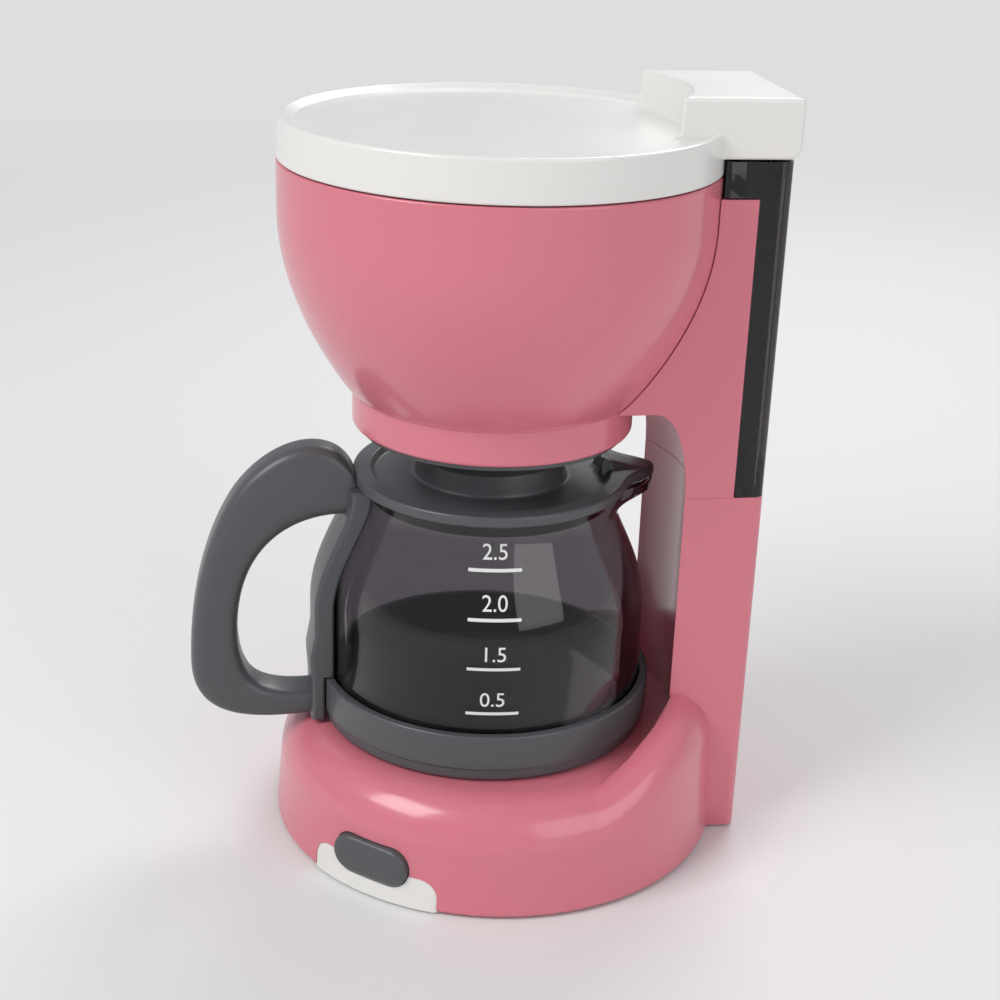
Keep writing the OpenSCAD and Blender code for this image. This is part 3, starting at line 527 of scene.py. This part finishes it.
def jug():
    """Jug: wall turned about the Z axis, its radius raised by SPOUT_REACH exp(-(a / SPOUT_TURN)^2) times a
    smooth step in z for the spout, where a is the angle from +Y in degrees; foot band turned from its side
    view."""
    rise = BEND_Z + (BEND_TOP - BEND_Z) * np.linspace(0, 1, 50)
    straight = np.linspace(36, BEND_Z - 1, 6)
    inner, floor_z, lip = JUG_R - JUG_WALL, GLASS_Z + JUG_WALL, JUG_TOP - 0.5
    body = np.concatenate([[(0, GLASS_Z), (JUG_R - 0.6, GLASS_Z), (JUG_R, GLASS_Z + 0.6)],
                           column(JUG_R, straight), column(jug_at(rise), rise),
                           [(JUG_NECK, lip), (JUG_NECK - 0.4, JUG_TOP), (JUG_NECK - 1.2, JUG_TOP),
                            (JUG_NECK - JUG_WALL, lip)],
                           column(jug_at(rise[::-1]) - JUG_WALL, rise[::-1]), column(inner, straight[::-1]),
                           [(inner, floor_z + 1), (inner - 1, floor_z), (0, floor_z)]])
    grid = turned(body)
    x, y, z = grid[..., 0], grid[..., 1], grid[..., 2]
    r = np.hypot(x, y)
    turn = np.degrees(np.arctan2(x, y))
    high = smooth(z, JUG_TOP - 7.3, JUG_TOP - 2.3)
    pull = SPOUT_REACH * np.exp(-(turn / SPOUT_TURN) ** 2) * high * (r > JUG_NECK / 2)
    scale = (r + pull) / np.maximum(r, 1e-9)
    wall = piece_from("jug_wall", np.stack([x * scale, y * scale, z], -1))
    finished(wall, "smoked_plastic", "jug", "jug_body")
    groove, socket = JUG_Z + 3, JUG_R + FIT
    band = filleted([(0, JUG_Z), (BAND_R - 1.4, JUG_Z), (BAND_R - 0.7, JUG_Z + 0.7), (BAND_R - 0.7, groove),
                     (BAND_R - 1.1, groove), (BAND_R - 1.1, groove + 0.3), (BAND_R, groove + 0.3),
                     (BAND_R, BAND_TOP), (socket, BAND_TOP), (socket, DISC_Z), (0, DISC_Z)],
                    [0, 0.4, 0.5, 0.25, 0.1, 0.1, 0.3, 0.6, 0.3, 0.2, 0])
    finished(piece_from("jug_foot_band", turned(band)), "grey_plastic", "jug", "jug_band")


def jug_cap():
    """Jug lid turned from its side view; the rim's radius grows by BEAK_REACH exp(-(a / BEAK_TURN)^2) into a
    beak, where a is the angle from +Y in degrees, and a ridge about 8 mm wide slopes down along the beak."""
    t = JUG_TOP
    well, under = KNOB_R - KNOB_T, t + CAP_FLOOR - CAP_T
    side = filleted([(0, t + KNOB_TOP - CAP_T), (well, t + KNOB_TOP - CAP_T), (well, under),
                     (PLUG_R - PLUG_T, under), (PLUG_R - PLUG_T, t - PLUG_H), (PLUG_R, t - PLUG_H),
                     (PLUG_R, t + 0.02), (CAP_R, t + 0.02), (CAP_R, t + CAP_RIM), (CAP_R - 4, t + CAP_RIM),
                     (CAP_R - 5, t + CAP_FLOOR), (KNOB_R + 1, t + CAP_FLOOR), (KNOB_R, t + KNOB_TOP - 1.4),
                     (KNOB_R - 1.5, t + KNOB_TOP), (0, t + KNOB_TOP)],
                    [0, 0.3, 0.3, 0.3, 0.3, 0.3, 0.2, 0.5, 0.7, 0.5, 0.5, 0.8, 0.8, 1.2, 0])
    grid = turned(dense(side, 0.8))
    x, y, z = grid[..., 0], grid[..., 1], grid[..., 2]
    r = np.hypot(x, y)
    turn = np.degrees(np.arctan2(x, y))
    rim_share = smooth(r, CAP_R - 3.8, CAP_R - 1.3) * (z > t - 0.2)
    grow = 1 + BEAK_REACH / CAP_R * np.exp(-(turn / BEAK_TURN) ** 2) * rim_share
    x, y = x * grow, y * grow
    slope = np.clip((RIDGE_END - y) / (RIDGE_END - RIDGE_START), 0, 1)
    ridge = t + RIDGE_LOW + (RIDGE_HIGH - RIDGE_LOW) * slope
    begun = smooth(y, RIDGE_START - 1.1, RIDGE_START + 0.1)
    ended = smooth(y, RIDGE_END - 0.7, RIDGE_END + 0.7)
    beside = smooth(np.abs(x), RIDGE_HALF - 0.45, RIDGE_HALF + 0.45)
    lift = np.maximum(ridge - z, 0) * begun * (1 - beside) * (z > t + 1) * (1 - ended)
    finished(piece_from("jug_cap", np.stack([x, y, z + lift], -1)), "grey_plastic", "jug", "jug_lid")


def jug_grip():
    """Jug handle: between an outer and an inner curve, both cut into equal steps, the section is a
    superellipse: c + h sgn(cos q) |cos q|^0.5 from curve to curve and GRIP_W sgn(sin q) |sin q|^0.5 along X.
    A strip whose side view follows the jug's wall is carried across X at y = -sqrt(r r - x x)."""
    outer = np.concatenate([bezier((31.5, 87.6), (34.3, 99.8), (50, 98.8), (60, 84.8)),
                            bezier((60, 84.8), (68, 72.8), (71, 55), (71, 42)),
                            bezier((71, 42), (71, 27), (58, 26), (41, 28)), [(41, 28)]])
    inner = np.concatenate([bezier((41, 34), (48, 33.5), (54, 34), (57, 38)),
                            bezier((57, 38), (60.5, 43), (60.5, 54), (58, 62)),
                            bezier((58, 62), (55, 71.8), (47, 79.8), (31.5, 79.3)), [(31.5, 79.3)]])[::-1]
    one, other = even(outer, 120), even(inner, 120)
    centre, reach = (one + other) / 2, (one - other) / 2
    q = np.linspace(0, 2 * np.pi, 40, endpoint=False)
    across = GRIP_W * signed_power(np.sin(q), 0.5)
    ring = centre[:, None] + reach[:, None] * signed_power(np.cos(q), 0.5)[None, :, None]
    grid = np.stack([across[None] + 0 * ring[..., 0], -ring[..., 0], ring[..., 1]], -1)
    finished(piece_from("jug_handle_grip", grid, capped=True), "grey_plastic", "jug", "jug_handle")
    z = np.linspace(BEND_Z, JUG_TOP - 0.4, 40)
    foot, shoulder = JUG_Z + 0.7, BAND_TOP + FIT
    near = np.concatenate([[(BAND_R + FIT, foot), (BAND_R + FIT, shoulder), (JUG_R + FIT, shoulder)],
                           column(jug_at(z) + FIT, z)])
    far = np.concatenate([column(jug_at(z[::-1]) + STRIP_T, z[::-1]),
                          [(JUG_R + STRIP_T, 50), (BAND_R + 3.6, 44), (BAND_R + 3.2, 38),
                           (BAND_R + 3.2, foot)]])
    side = np.concatenate([near, far])
    grid = carried_across(side, STRIP_HALF, STRIP_END, lambda r, x: -on_circle(r, x), 24)
    finished(piece_from("jug_handle_strip", grid, capped=True), "grey_plastic", "jug", "jug_handle")


def base():
    """Base shell: its side view turned about the base's centre. Outside the circle that the jug stands in,
    each point is lifted by HUMP_SLOPE (y - HUMP_START), held between 0 and HUMP_RISE with soft ends, which
    leaves a step along that circle."""
    a = np.linspace(0, np.pi / 2, 28)
    wall_r = BASE_R - BASE_DRAFT
    flat = SHOULDER_W * np.cos(a) + wall_r - SHOULDER_W
    rim = filleted([(COVER_HOLE_R, COVER_TOP), (COVER_HOLE_R, FOOT_Z), (BASE_R, FOOT_Z),
                    (wall_r, SHOULDER_Z)], [0, 0.2, 0.9, 0], 5)
    share = np.linspace(0.2, 0.95, 5)
    top = np.concatenate([rim.reshape(4, 6, 2)[1:3].reshape(-1, 2),
                          column(BASE_R - BASE_DRAFT * share, FOOT_Z + (SHOULDER_Z - FOOT_Z) * share),
                          column(flat, SHOULDER_Z + (SEAT_Z - SHOULDER_Z) * np.sin(a)),
                          column(np.linspace(SEAT_R, 0, 12), SEAT_Z)])
    turn = np.linspace(0, 2 * np.pi, 288, endpoint=False)[None]
    # distance from the base's centre to the circle round the jug, in each direction
    edge = BASE_BACK * np.cos(turn) + np.sqrt(ARCH_R ** 2 - (BASE_BACK * np.sin(turn)) ** 2)
    r, z = top[:, :1] + 0 * turn, top[:, 1:] + 0 * turn

    def height(at):
        """Height of the shoulder and seat at a distance from the base's centre."""
        bow = np.clip((at - flat[-1]) / SHOULDER_W, 0, 1)
        return SHOULDER_Z + (SEAT_Z - SHOULDER_Z) * np.sqrt(1 - bow ** 2)

    far = np.maximum(r, edge)
    slope = (BASE_BACK - far * np.cos(turn) - HUMP_START) * HUMP_SLOPE
    lift = HUMP_RISE * smooth(slope / HUMP_RISE, -0.06, 1.06)
    lift = 0.5 * (lift + np.clip(slope, 0, HUMP_RISE))
    round_off = 1 - np.sqrt(1 - (1 - np.clip((far - edge) / HUMP_EDGE, 0, 1)) ** 2)
    corner = HUMP_EDGE * round_off * np.clip(lift, 0, 1)
    outer_z = np.where(r < edge, height(far), z) + lift * smooth(z, 4, SHOULDER_Z) - corner
    near = np.minimum(r, edge)
    inner_z = np.where(r > edge, height(near), z)
    under = np.array([(0, SEAT_Z - WALL), (40, SEAT_Z - WALL), (46, 23), (50, 19), (51.1, SHOULDER_Z),
                      (COVER_HOLE_R - 0.25, COVER_TOP), (COVER_HOLE_R, COVER_TOP - 0.01)])
    radii = np.concatenate([far, near, under[:, :1] + 0 * turn])
    level = np.concatenate([outer_z, inner_z, under[:, 1:] + 0 * turn])
    grid = np.stack([radii * np.sin(turn), BASE_BACK - radii * np.cos(turn), level], -1)
    shell = piece_from("base_top_shell", grid)
    half = PANEL_W / 2
    plan = filleted([(-half, -2), (half, -2), (half, PANEL_H), (-half, PANEL_H)],
                    [0, 0, PANEL_ROUND, PANEL_ROUND], 12)
    pocket = face_on(stacked(plan, SLOT_IN - 0.3, SLOT_OUT - 0.3))
    x = np.linspace(-HALF_W, HALF_W, 24)
    column_foot = stacked(np.concatenate([np.stack([x, np.sqrt(ARCH_R ** 2 - x ** 2) - 0.05], 1),
                                          [(HALF_W, 70), (-HALF_W, 70)]]), -2, 45)
    carve(shell, *cutters_from(pocket, button_slot(), column_foot))
    finished(shell, "pink_plastic", "housing", "base_shell")


def panel():
    """Pale panel: rows at rising heights run along the front at the base's radius and back along the hole's,
    from -w(z) to w(z), where w narrows as a quarter circle to the rounded top corners."""
    corner_z = PANEL_H - PANEL_ROUND
    z = np.concatenate([np.linspace(FOOT_Z, corner_z, 6),
                        corner_z + PANEL_ROUND * np.sin(np.linspace(0.1, np.pi / 2, 12))])
    drop = np.sqrt(1 - np.clip((z - corner_z) / PANEL_ROUND, 0, 1) ** 2)
    half = PANEL_W / 2 - PANEL_ROUND * (1 - drop)
    s = np.linspace(-1, 1, 49)
    loop = np.concatenate([s, s[::-1]])
    outside = np.repeat([1.0, 0.0], len(s))
    side = BASE_R - BASE_DRAFT * (z - FOOT_Z) / (SHOULDER_Z - FOOT_Z) + PANEL_PROUD
    radius = outside[None] * side[:, None] + (1 - outside[None]) * COVER_HOLE_R
    past_end = np.abs(loop)[None] * half[:, None] - half[:, None]
    radius = radius - 0.35 * outside[None] * smooth(past_end, -0.5, 0)
    across = loop[None] * half[:, None]
    grid = face_on(np.stack([across, z[:, None] + 0 * across, np.sqrt(radius ** 2 - across ** 2)], -1))
    plate = carve(piece_from("front_panel_plate", grid, capped=True), *cutters_from(button_slot()))
    finished(plate, "white_plastic", "housing", "front_panel")


def button():
    """Push button: a bar outline with half-round ends raised out of the base's side with a rounded front edge
    and a slightly domed face, and a wider flange and a round stem behind."""
    plan = capsule(BUTTON_L, BUTTON_H, BUTTON_Z, 96)
    q = np.linspace(0, np.pi / 2, 8)
    front = np.stack([1.6 * (1 - np.cos(q)), BUTTON_FACE - BUTTON_EDGE * (1 - np.sin(q)) - 0.25], 1)
    dome = np.stack([np.linspace(1.9, 4.65, 6),
                     BUTTON_FACE - BUTTON_DOME * (1 - np.linspace(0.1, 1, 6))], 1)
    # each level is (distance drawn in from the outline, distance from the base's centre)
    levels = np.concatenate([[(4.6, FLANGE_IN), (-FLANGE_MORE, FLANGE_IN), (-FLANGE_MORE, FLANGE_OUT),
                              (0, FLANGE_OUT)], front, dome])
    rings = plan[None] - outward(plan)[None] * levels[:, 0][:, None, None]
    grid = np.concatenate([rings, np.broadcast_to(levels[:, 1][:, None, None], rings.shape[:2] + (1,))], -1)
    finished(piece_from("button_cap", face_on(grid), capped=True), "grey_plastic", "button", "power_button")
    a = np.linspace(0, 2 * np.pi, 40, endpoint=False)
    ring = np.stack([STEM_R * np.cos(a), BUTTON_Z + STEM_R * np.sin(a)], 1)
    grid = face_on(stacked(ring, STEM_IN, FLANGE_IN + 0.5, 0.3))
    finished(piece_from("button_stem", grid, capped=True), "grey_plastic", "button", "power_button")


def outlet():
    """Outlet under the bowl: a shallow funnel turned from its side view."""
    lip, seat = NECK_R - 1.7, NECK_R - 3.2
    side = filleted([(OUTLET_HOLE_R, NECK_Z - OUTLET_LOW), (4, NECK_Z - OUTLET_LOW), (5, NECK_Z - 1.4),
                     (lip, NECK_Z - 1.4), (lip, NECK_Z), (seat, NECK_Z), (seat, NECK_Z + 3),
                     (NECK_R - 5, NECK_Z + 3), (NECK_R - 5, NECK_Z + 1), (OUTLET_HOLE_R, NECK_Z + 0.6)],
                    [0.3, 0.4, 0.8, 0.5, 0.2, 0.2, 0.3, 0.3, 0.5, 0.3])
    finished(piece_from("bowl_outlet", turned(side)), "grey_plastic", "housing", "outlet_ring")


def softened(node, slot, body, width, look=None):
    """A copy of a CAD node, merged, with its outer edges rounded."""
    piece = bpy.data.objects.new(node + "_soft", frame["nodes"][node].data.copy())
    bpy.context.collection.objects.link(piece)
    work = bmesh.new()
    work.from_mesh(piece.data)
    bmesh.ops.remove_doubles(work, verts=work.verts, dist=2e-6)
    bmesh.ops.dissolve_limit(work, angle_limit=0.004, verts=work.verts, edges=work.edges)
    bmesh.ops.recalc_face_normals(work, faces=work.faces)
    shade(work)
    work.to_mesh(piece.data)
    work.free()
    round_off = piece.modifiers.new("edges", "BEVEL")
    round_off.width, round_off.segments = width * MM, 3
    round_off.limit_method, round_off.angle_limit = "ANGLE", EDGE_ANGLE
    finished(piece, slot, body, node, look=look)


def wrapped(points):
    """Points (across, up, depth) laid on the jug's wall: azimuth = SCALE_TURN + across / r(z),
    radius = r(z) + depth."""
    across, up, depth = points[:, 0], points[:, 1], points[:, 2]
    radius = jug_at(up)
    turn = SCALE_TURN + across / radius
    r = radius + depth
    return np.stack([r * np.sin(turn), -r * np.cos(turn), up], 1)


def scale_bar(count, middle_z):
    """One bar of the jug's scale: a thin strip of ink wrapped onto the wall."""
    s = np.linspace(-BAR_HALF, BAR_HALF, 25)
    corners = [(-BAR_H / 2, INK_LOW), (-BAR_H / 2, INK_HIGH), (BAR_H / 2, INK_HIGH), (BAR_H / 2, INK_LOW)]
    bar = np.stack([np.stack([s, 0 * s + middle_z + up, 0 * s + depth], 1) for up, depth in corners], 1)
    grid = wrapped(bar.reshape(-1, 3)).reshape(bar.shape)
    finished(piece_from(f"scale_bar_{count}", grid, capped=True), "white_plastic", "jug", look="scale_ink")


def scale_number(count, label, middle_z):
    """One plain number of the jug's scale, made a mesh before it is wrapped onto the wall."""
    thick = (INK_HIGH - INK_LOW) / 2
    curve = bpy.data.curves.new("digits", "FONT")
    curve.body, curve.align_x, curve.align_y = label, "CENTER", "CENTER"
    curve.size, curve.extrude, curve.resolution_u = DIGIT_H, thick, 6
    words = bpy.data.objects.new("digits", curve)
    bpy.context.collection.objects.link(words)
    bpy.context.view_layer.update()
    data = bpy.data.meshes.new_from_object(words.evaluated_get(bpy.context.evaluated_depsgraph_get()))
    bpy.data.objects.remove(words)
    flat = np.empty(len(data.vertices) * 3)
    data.vertices.foreach_get("co", flat)
    flat = flat.reshape(-1, 3) + (0, middle_z, INK_LOW + thick)
    data.vertices.foreach_set("co", (wrapped(flat) * MM).ravel())
    number = bpy.data.objects.new(f"scale_number_{count}", data)
    bpy.context.collection.objects.link(number)
    finished(settle(number), "white_plastic", "jug", look="scale_ink")


# ---------------------------------------------------------------- build

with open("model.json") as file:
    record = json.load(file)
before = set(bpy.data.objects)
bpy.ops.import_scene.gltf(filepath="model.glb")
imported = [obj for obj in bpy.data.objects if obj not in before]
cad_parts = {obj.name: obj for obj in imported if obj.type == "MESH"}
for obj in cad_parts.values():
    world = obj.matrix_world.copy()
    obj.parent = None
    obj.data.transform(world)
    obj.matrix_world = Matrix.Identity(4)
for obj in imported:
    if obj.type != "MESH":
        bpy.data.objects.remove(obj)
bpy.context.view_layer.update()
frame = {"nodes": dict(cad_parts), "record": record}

FINISH = {
    "pink_plastic": moulded("pink_plastic", (0.68, 0.185, 0.235), fleck=(0.65, 0.17, 0.215),
                            rough=0.23, coat=0.35, soft=0.06),
    "white_plastic": moulded("white_plastic", (0.80, 0.785, 0.75), fleck=(0.78, 0.76, 0.72),
                             rough=0.28, coat=0.3, soft=0.06),
    "grey_plastic": moulded("grey_plastic", (0.075, 0.08, 0.085), fleck=(0.065, 0.07, 0.075),
                            rough=0.36, coat=0.1, grain=2200),
    "black_plastic": moulded("black_plastic", (0.02, 0.02, 0.022), fleck=(0.016, 0.016, 0.017),
                             rough=0.45, grain=2200),
    "smoked_plastic": tinted_clear("smoked_plastic", (0.30, 0.28, 0.30), rough=0.03),
    "steel": metal("plated_steel", (0.6, 0.6, 0.62), rough=0.28),
    "circuit_laminate": moulded("circuit_laminate", (0.03, 0.16, 0.07), fleck=(0.025, 0.13, 0.06), rough=0.3),
    "lens": moulded("lens", (0.75, 0.75, 0.73), fleck=(0.7, 0.7, 0.68), rough=0.15),
    "cell_sleeve": moulded("cell_sleeve", (0.05, 0.12, 0.25), fleck=(0.04, 0.10, 0.2), rough=0.3),
    # looks of pieces whose slot is another one
    "tank_plastic": tinted_clear("tank_plastic", (0.085, 0.075, 0.085), rough=0.04),
    "scale_ink": moulded("scale_ink", (0.78, 0.78, 0.76), fleck=(0.74, 0.74, 0.72), rough=0.45),
}

for part in frame["record"]["subparts"]:
    mesh = frame["nodes"][part["node"]].data
    mesh.materials.clear()
    mesh.materials.append(FINISH[part["material_slot"]])

bowl()
lid()
jug()
jug_cap()
jug_grip()
base()
panel()
button()
outlet()
for count, (label, bar_z, number_z) in enumerate(SCALE_MARKS):
    scale_bar(count, bar_z)
    scale_number(count, label, number_z)
softened("column_lower", "pink_plastic", "housing", width=0.5)
softened("column_upper", "pink_plastic", "housing", width=0.5)
softened("water_tank", "smoked_plastic", "housing", width=0.4, look="tank_plastic")

# floor, light and camera, in metres
FLOOR_HALF = 8
floor_data = bpy.data.meshes.new("floor")
floor_data.from_pydata([(-FLOOR_HALF, -FLOOR_HALF, 0), (FLOOR_HALF, -FLOOR_HALF, 0),
                        (FLOOR_HALF, FLOOR_HALF, 0), (-FLOOR_HALF, FLOOR_HALF, 0)], [], [(0, 1, 2, 3)])
floor = bpy.data.objects.new("floor", floor_data)
bpy.context.collection.objects.link(floor)
floor_data.materials.append(pale_floor((0.80, 0.79, 0.78), BACKDROP))

bpy.context.scene.world = pale_world((0.465, 0.475, 0.5), BACKDROP)
bpy.context.scene.view_settings.view_transform = "Standard"

MIDDLE = (0, 0, 0.09)
soft_box("key", (0.35, -0.75, 0.85), MIDDLE, size=(0.55, 0.55), power=6.5)
soft_box("fill", (0.9, 0.55, 0.5), MIDDLE, size=(0.7, 0.7), power=2.6)
soft_box("back", (-0.7, 0.4, 0.7), MIDDLE, size=(0.5, 0.5), power=3.5)

EYE = Vector((0.3811, -0.0576, 0.2351))
LINE_OF_SIGHT = Vector((-0.91698, 0.14469, -0.37177))
ROLL_DEG, LENS_MM = 2.04, 63
aim_camera(EYE, EYE + LINE_OF_SIGHT, ROLL_DEG, LENS_MM)
